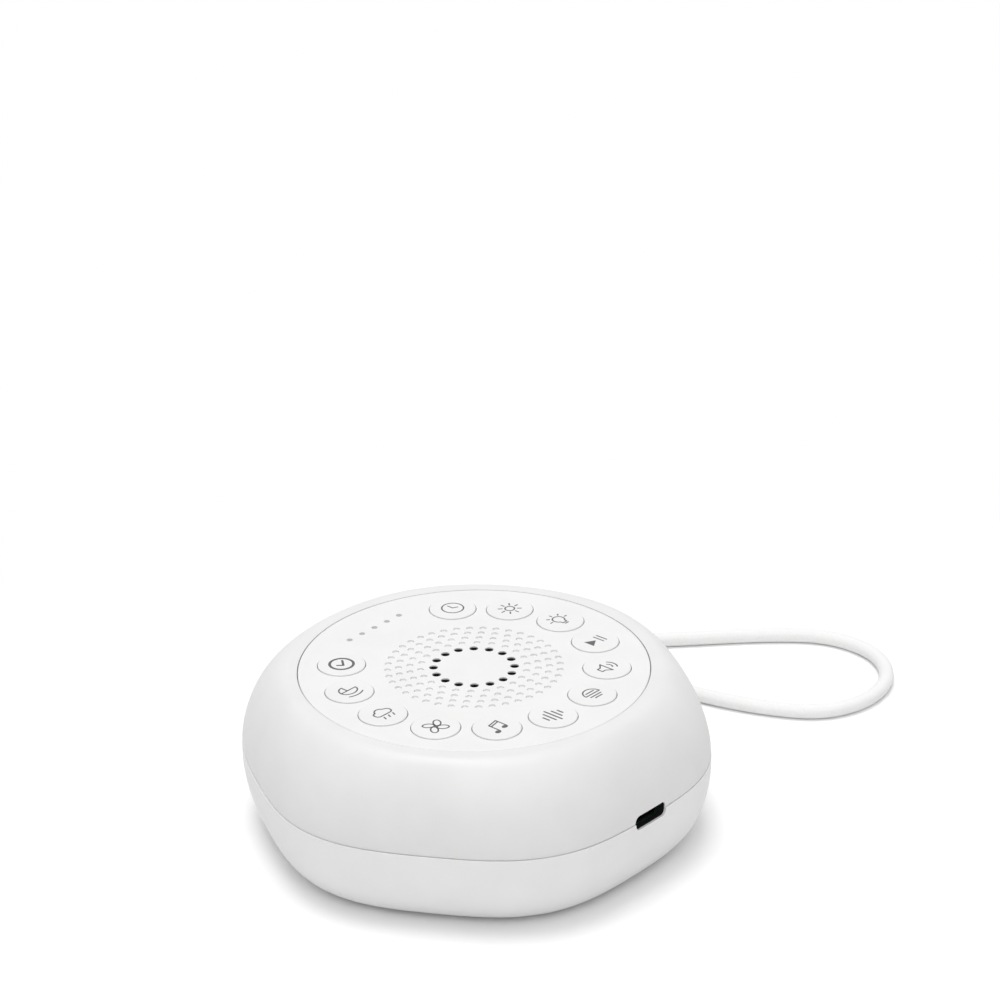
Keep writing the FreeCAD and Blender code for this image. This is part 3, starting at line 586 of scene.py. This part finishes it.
def add_upper_skin():
    """The upper shell, smooth, with the panel's recess and the port."""
    outer = side_rows(
        SEAM_RADIUS, RIM_RADIUS, TOP_Z, UPPER_FULLNESS, 0.0, SEAM_TUCK, SKIN_ROWS, HALF_GAP + EDGE_BREAK
    )
    inner = side_rows(
        SEAM_RADIUS - WALL, RIM_RADIUS - WALL, LEDGE_UNDER_Z, UPPER_FULLNESS, 0.0, SEAM_TUCK,
        LINING_ROWS, REBATE_Z - SEAM_Z,
    )
    seam = SEAM_Z + HALF_GAP
    rows = [(outer[0][0] - EDGE_BREAK, CORNER_SWELL, seam)] + outer
    rows += [(RECESS_RADIUS + EDGE_BREAK, 0, TOP_Z), (RECESS_RADIUS, 0, TOP_Z - EDGE_BREAK)]
    rows += [(RECESS_RADIUS, 0, RECESS_Z), (LEDGE_RADIUS, 0, RECESS_Z), (LEDGE_RADIUS, 0, LEDGE_UNDER_Z)]
    rows += inner[::-1] + [(REBATE_RADIUS, CORNER_SWELL, REBATE_Z), (REBATE_RADIUS, CORNER_SWELL, seam)]
    piece = add_piece("upper_shell_skin", spun_mesh("upper_shell_skin", rows, True))
    shape = ([], [])
    port_prism(shape)
    cut_openings(piece, shape)
    finish_piece(piece, "case", "shell_upper", "upper_shell")


def add_lower_skin():
    """The lower shell, smooth, with its lip, the port, the strap's slot and the base's recesses."""
    outer = side_rows(
        SEAM_RADIUS, BASE_RADIUS, BASE_Z, LOWER_FULLNESS, BASE_SWELL, 0.0, SKIN_ROWS, HALF_GAP + EDGE_BREAK
    )
    inner = side_rows(
        SEAM_RADIUS - WALL, BASE_RADIUS - WALL, FLOOR_INSIDE_Z, LOWER_FULLNESS, BASE_SWELL, 0.0,
        LINING_ROWS, SEAM_Z - LIP_FOOT_Z,
    )
    seam = SEAM_Z - HALF_GAP
    rows = [(0, 0, BASE_Z), (FLAT_RADIUS, 0, BASE_Z)] + outer[::-1]
    rows += [(SEAM_RADIUS - EDGE_BREAK, CORNER_SWELL, seam), (LIP_OUTER, CORNER_SWELL, seam)]
    rows += [(LIP_OUTER, CORNER_SWELL, LIP_TOP_Z), (LIP_INNER, CORNER_SWELL, LIP_TOP_Z)] + inner
    rows += [(FLAT_RADIUS, 0, FLOOR_INSIDE_Z), (0, 0, FLOOR_INSIDE_Z)]
    piece = add_piece("lower_shell_skin", spun_mesh("lower_shell_skin", rows, False))
    shape = ([], [])
    port_prism(shape)
    strap_prism(shape)
    base_prisms(shape)
    cut_openings(piece, shape)
    finish_piece(piece, "case", "shell_lower", "lower_shell")


def arc(x, y, radius, start, end, steps=20, tall=1.0):
    """Points along an arc; tall stretches it upwards."""
    made = []
    for k in range(steps + 1):
        turn = math.radians(start + (end - start) * k / steps)
        made.append((x + radius * math.cos(turn), y + radius * tall * math.sin(turn)))
    return made


def ray(angle, near, far, x=0.0, y=0.0):
    """A short straight line away from a point."""
    turn = math.radians(angle)
    return [(x + reach * math.cos(turn), y + reach * math.sin(turn)) for reach in (near, far)]


def petal(angle):
    """One blade of the fan."""
    turn = math.radians(angle)
    made = []
    for k in range(24):
        way = 2 * math.pi * k / 24
        x = 1.5 - 1.15 * math.cos(way)
        y = 0.85 * math.sin(way) + 0.3 * (x - 0.35)
        made.append((x * math.cos(turn) - y * math.sin(turn), x * math.sin(turn) + y * math.cos(turn)))
    return made


def disc(x, y, radius, tall=1.0):
    """Points round a small circle."""
    return arc(x, y, radius, 0, 345, 23, tall)


def dial(radius):
    """Points round a clock's dial."""
    return arc(0, 0, radius, 0, 350, 35)


def loop_line(points, width=INK_LINE):
    """A line that closes on itself."""
    return points, width, True


def open_line(points, width=INK_LINE):
    """A line with two ends."""
    return points, width, False


def nature_icons():
    """The pictograms of sounds, each as lines and filled loops."""
    cloud = arc(-1.2, 0.2, 0.95, 270, 105, 14) + arc(0.0, 0.75, 1.25, 165, 30, 14)
    cloud += arc(1.35, 0.2, 0.95, 75, -90, 14)
    drops = [[(x, -1.4), (x - 0.3, -2.2)] for x in (-1.1, 0.2, 1.5)]
    bars = ((-2.2, 0.8), (-1.1, 1.7), (0, 2.4), (1.1, 1.4), (2.2, 0.7))
    waves = ((-1.2, 0.75), (-1.6, -0.95), (-1.0, -1.75))
    return {
        "rain_cloud": ([loop_line(cloud)] + [open_line(drop) for drop in drops], []),
        "fan": ([loop_line(petal(90 * k + 20)) for k in range(4)], [disc(0, 0, 0.35)]),
        "lullaby": (
            [
                open_line([(-0.7, -1.5), (-0.7, 1.6), (1.9, 2.1), (1.9, -1.0)]),
                open_line([(-0.7, 0.95), (1.9, 1.45)]),
            ],
            [disc(-1.35, -1.55, 0.75, 0.75), disc(1.25, -1.05, 0.75, 0.75)],
        ),
        "white_noise": ([open_line([(x, -tall), (x, tall)], BAR_LINE) for x, tall in bars], []),
        "ocean": (
            [loop_line(arc(0, -0.1, 2.1, 0, 180, 24))] + [open_line([(x, y), (-x, y)]) for x, y in waves],
            [],
        ),
    }


def control_icons():
    """The other pictograms, each as lines and filled loops."""
    bulb = arc(0, 0.55, 1.35, -58, 238, 30)
    horn = [(-2.3, -0.7), (-1.4, -0.7), (-0.2, -1.8), (-0.2, 1.8), (-1.4, 0.7), (-2.3, 0.7)]
    glow = [ray(angle, 2.0, 2.55, 0, 0.55) for angle in (0, 45, 90, 135, 180)]
    return {
        "short_timer": (
            [
                loop_line(dial(2.55), DIAL_LINE),
                open_line([(-1.1, 0.2), (-0.2, -0.75), (1.25, 1.0)], HAND_LINE),
            ],
            [],
        ),
        "bedtime": (
            [
                loop_line(arc(0, 0.3, 2.1, 180, 360, 20, 0.8)),
                open_line(arc(0, 1.5, 4.0, 240, 300, 14)),
                open_line(arc(-0.3, 0.3, 1.8, 90, 180, 12)),
                open_line([(-0.3, 2.1), (-0.3, 0.3)]),
            ],
            [],
        ),
        "volume": (
            [
                loop_line(horn),
                open_line(arc(0, 0, 1.2, -42, 42, 10)),
                open_line(arc(0, 0, 2.2, -42, 42, 14)),
            ],
            [],
        ),
        "play_pause": (
            [open_line([(x, -1.4), (x, 1.4)]) for x in (1.1, 2.1)],
            [[(-2.1, -1.4), (0.2, 0), (-2.1, 1.4)]],
        ),
        "night_light": (
            [
                open_line(bulb),
                open_line([(-0.72, -0.6), (-0.6, -1.3), (0.6, -1.3), (0.72, -0.6)]),
                open_line([(-0.45, -1.85), (0.45, -1.85)]),
            ]
            + [open_line(beam) for beam in glow],
            [],
        ),
        "brightness": (
            [loop_line(disc(0, 0, 1.05))] + [open_line(ray(45 * k, 1.7, 2.5)) for k in range(8)],
            [],
        ),
        "long_timer": ([loop_line(dial(2.4)), open_line([(0, 1.5), (0, 0), (1.1, -0.5)])], []),
    }


def line_loops(points, width, closed):
    """A line as four-sided loops that meet along their mitres, and its round ends."""
    half = width / 2
    count = len(points)
    runs = [(k, (k + 1) % count) for k in range(count if closed else count - 1)]
    normals = []
    for a, b in runs:
        size = math.dist(points[a], points[b])
        normals.append(((points[a][1] - points[b][1]) / size, (points[b][0] - points[a][0]) / size))
    loops = []
    ends = []
    for k, (a, b) in enumerate(runs):
        offsets = []
        for place, other in ((a, k - 1), (b, k + 1)):
            own = normals[k]
            inside = closed or 0 <= other < len(runs)
            near = normals[other % len(runs)] if inside else own
            share = 1 + own[0] * near[0] + own[1] * near[1]
            if share < MITRE_LIMIT or not inside:
                ends.append(points[place])
                near, share = own, 2.0
            offsets.append(((own[0] + near[0]) * half / share, (own[1] + near[1]) * half / share))
        (ax, ay), (bx, by) = points[a], points[b]
        (au, av), (bu, bv) = offsets
        loops.append([(ax + au, ay + av), (ax - au, ay - av), (bx - bu, by - bv), (bx + bu, by + bv)])
    caps = []
    for x, y in dict.fromkeys(ends):
        caps.append([(x + a, y + b) for a, b in round_loop(half, END_CORNERS)])
    return loops, caps


def add_icons():
    """Printed pictograms, each on its own button."""
    drawings = {**nature_icons(), **control_icons()}
    for k, name in enumerate(BUTTON_NAMES):
        turn = math.radians(90 + 360 / BUTTON_PLACES * (1.5 + k))
        button = frame["nodes"]["button_" + name]
        top = max(vertex.co.z for vertex in button.data.vertices) / MM
        place = Vector((BUTTON_CIRCLE * math.cos(turn), BUTTON_CIRCLE * math.sin(turn), top - INK_SUNK))
        lines, fills = drawings[name]
        shape = ([], [])
        for points, width, closed in lines:
            loops, ends = line_loops(points, width, closed)
            for loop in loops:
                add_prism(shape, loop, place, AXIS_X, AXIS_Y, AXIS_Z * (INK_SUNK + INK_PROUD))
            for loop in ends:
                add_prism(shape, loop, place, AXIS_X, AXIS_Y, AXIS_Z * (INK_SUNK + INK_PROUD * END_SHARE))
        for loop in fills:
            add_prism(shape, loop, place, AXIS_X, AXIS_Y, AXIS_Z * (INK_SUNK + INK_PROUD * FILL_SHARE))
        mesh = bpy.data.meshes.new("icon_" + name)
        mesh.from_pydata(shape[0], [], shape[1])
        mesh.update()
        piece = add_piece("icon_" + name, mesh)
        finish_piece(piece, name + "_key", "dark_plastic")
        piece.data.materials[0] = LOOKS["ink"]


def add_light(name, azimuth, elevation, spread, strength):
    """A broad soft light from one side."""
    data = bpy.data.lights.new(name, "SUN")
    data.angle = math.radians(spread)
    data.energy = strength
    light = bpy.data.objects.new(name, data)
    turn = math.radians(azimuth)
    rise = math.radians(elevation)
    way = Vector((math.cos(turn) * math.cos(rise), math.sin(turn) * math.cos(rise), math.sin(rise)))
    light.location = way * LIGHT_REACH
    light.rotation_euler = (-way).to_track_quat("-Z", "Y").to_euler()
    bpy.context.scene.collection.objects.link(light)


def add_world():
    """White to the camera; to the object a sky darker at the horizon, over pale ground."""
    world = bpy.data.worlds.new("studio")
    bpy.context.scene.world = world
    world.use_nodes = True
    tree = world.node_tree
    sky = tree.nodes["Background"]
    sky.inputs["Color"].default_value = WHITE
    place = tree.nodes.new("ShaderNodeTexCoord")
    parts = tree.nodes.new("ShaderNodeSeparateXYZ")
    tree.links.new(place.outputs["Generated"], parts.inputs[0])
    upward = spread_between(tree, parts.outputs["Z"], SKY_LOW, SKY_HIGH)
    below = node_math(tree, "LESS_THAN", parts.outputs["Z"], 0.0)
    level = node_math(tree, "MULTIPLY_ADD", below, GROUND - SKY_LOW, upward)
    tree.links.new(level, sky.inputs["Strength"])
    white = tree.nodes.new("ShaderNodeBackground")
    white.inputs["Color"].default_value = WHITE
    path = tree.nodes.new("ShaderNodeLightPath")
    seen = node_math(tree, "MAXIMUM", path.outputs["Is Camera Ray"], path.outputs["Is Glossy Ray"])
    seen = node_math(tree, "MAXIMUM", seen, path.outputs["Is Transmission Ray"])
    mix = tree.nodes.new("ShaderNodeMixShader")
    tree.links.new(seen, mix.inputs[0])
    tree.links.new(sky.outputs[0], mix.inputs[1])
    tree.links.new(white.outputs[0], mix.inputs[2])
    tree.links.new(mix.outputs[0], tree.nodes["World Output"].inputs["Surface"])


def add_floor():
    """A pale round floor that keeps the object's shadow."""
    middle_x, middle_y = FLOOR_CENTRE
    rim = [(x + middle_x, y + middle_y, 0.0) for x, y in round_loop(FLOOR_RADIUS, FLOOR_CORNERS)]
    mesh = bpy.data.meshes.new("floor")
    mesh.from_pydata(rim, [], [tuple(range(len(rim)))])
    floor = bpy.data.objects.new("floor", mesh)
    bpy.context.scene.collection.objects.link(floor)
    look = bpy.data.materials.new("floor")
    look.use_nodes = True
    tree = look.node_tree
    tree.nodes.remove(tree.nodes["Principled BSDF"])
    path = tree.nodes.new("ShaderNodeLightPath")
    mix = tree.nodes.new("ShaderNodeMixShader")
    tree.links.new(path.outputs["Is Camera Ray"], mix.inputs[0])
    for index, tone in ((1, FLOOR_BOUNCE), (2, FLOOR_SEEN)):
        side = tree.nodes.new("ShaderNodeBsdfDiffuse")
        side.inputs["Color"].default_value = (tone, tone, tone, 1.0)
        tree.links.new(side.outputs[0], mix.inputs[index])
    tree.links.new(mix.outputs[0], tree.nodes["Material Output"].inputs["Surface"])
    mesh.materials.append(look)


dress_cad_nodes()
add_upper_skin()
add_lower_skin()
add_icons()
add_world()
add_floor()
for entry in LIGHTS:
    add_light(*entry)
bpy.context.scene.view_settings.view_transform = "Standard"
